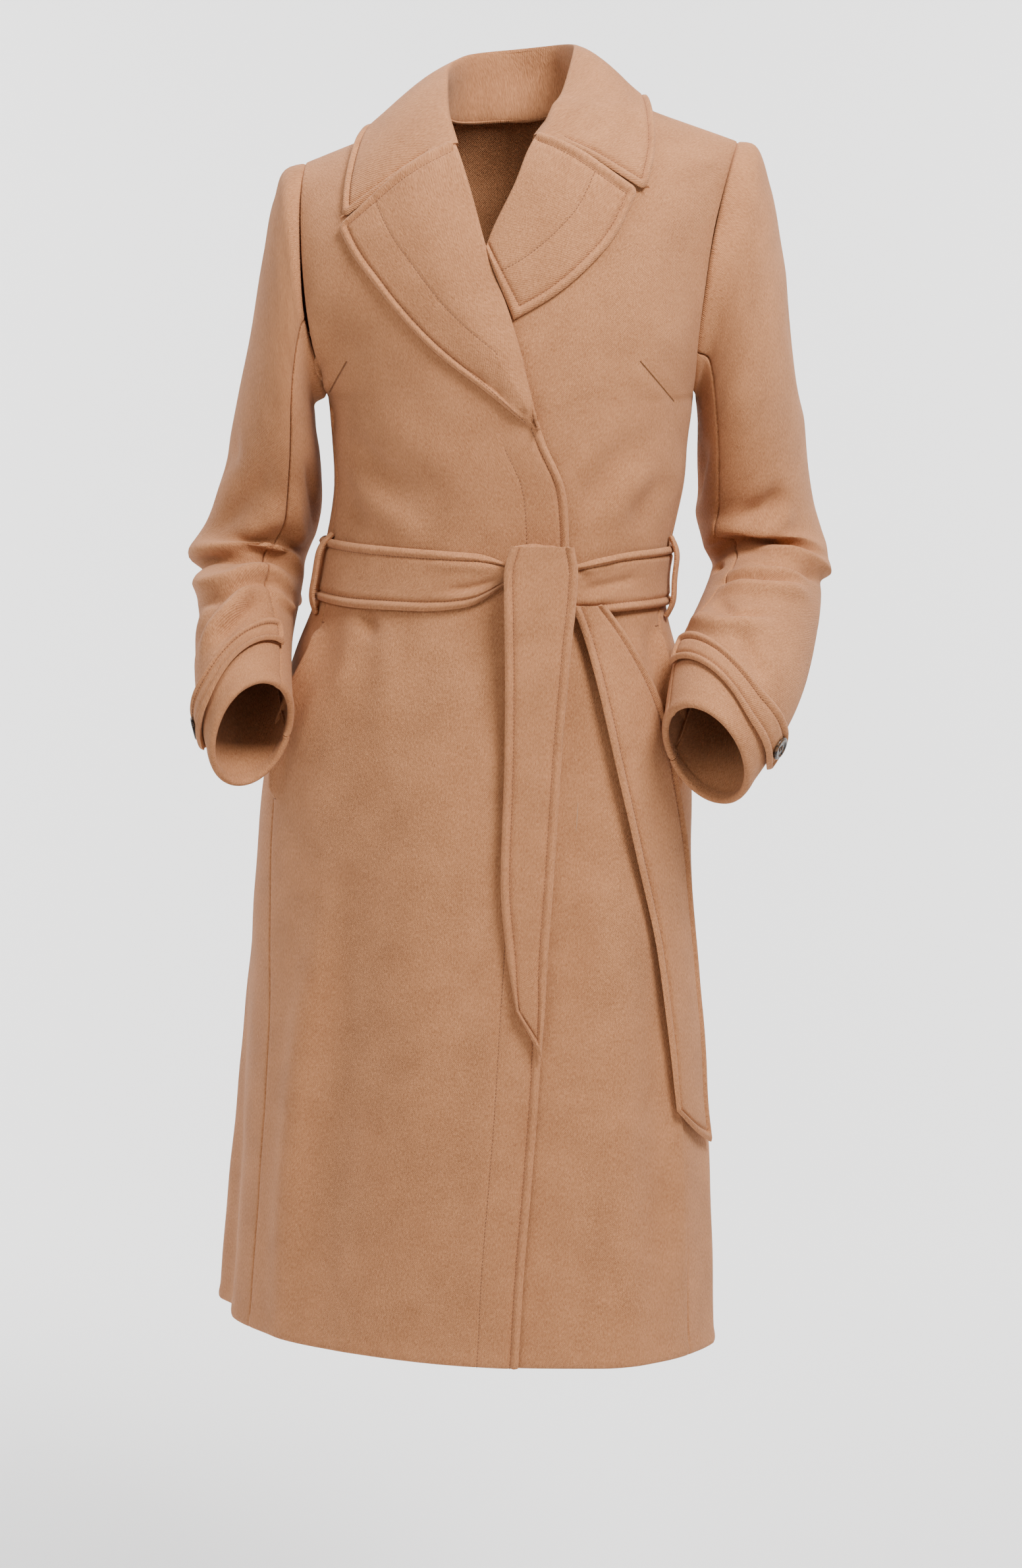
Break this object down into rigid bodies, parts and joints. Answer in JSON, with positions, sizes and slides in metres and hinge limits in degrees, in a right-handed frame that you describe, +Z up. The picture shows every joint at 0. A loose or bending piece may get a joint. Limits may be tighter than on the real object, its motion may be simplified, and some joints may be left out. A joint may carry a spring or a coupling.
{
  "type": "wool wrap coat",
  "caption": "Knee-length belted wrap coat with a notched collar, wide lapels, tied belt, side-seam pockets and strapped cuffs.",
  "frame": {"origin": "the base of the wearer's neck, where the shoulders carry the coat", "axes": "+Z up, -Y the way the wearer faces, +X the wearer's left"},
  "size_m": [0.5552, 0.3893, 1.1256],
  "materials": {
    "camel_wool": "fulled, soft nap",
    "pocket_cotton": "smooth twill",
    "horn": "polished dark horn look"
  },
  "bodies": {
    "root": {"front_right": "camel_wool", "front_left": "camel_wool", "back": "camel_wool", "lapel_right": "camel_wool", "lapel_left": "camel_wool", "collar": "camel_wool", "sleeve_right_upper": "camel_wool", "sleeve_right_under": "camel_wool", "sleeve_left_upper": "camel_wool", "sleeve_left_under": "camel_wool", "cuff_strap_right": "camel_wool", "cuff_strap_left": "camel_wool", "cuff_button_right": "horn", "cuff_button_left": "horn", "belt_band": "camel_wool", "belt_knot": "camel_wool", "belt_tail_over": "camel_wool", "belt_tail_under": "camel_wool", "belt_loop_right": "camel_wool", "belt_loop_left": "camel_wool", "pocket_bag_right": "pocket_cotton", "pocket_bag_left": "pocket_cotton"}
  },
  "joints": []
}
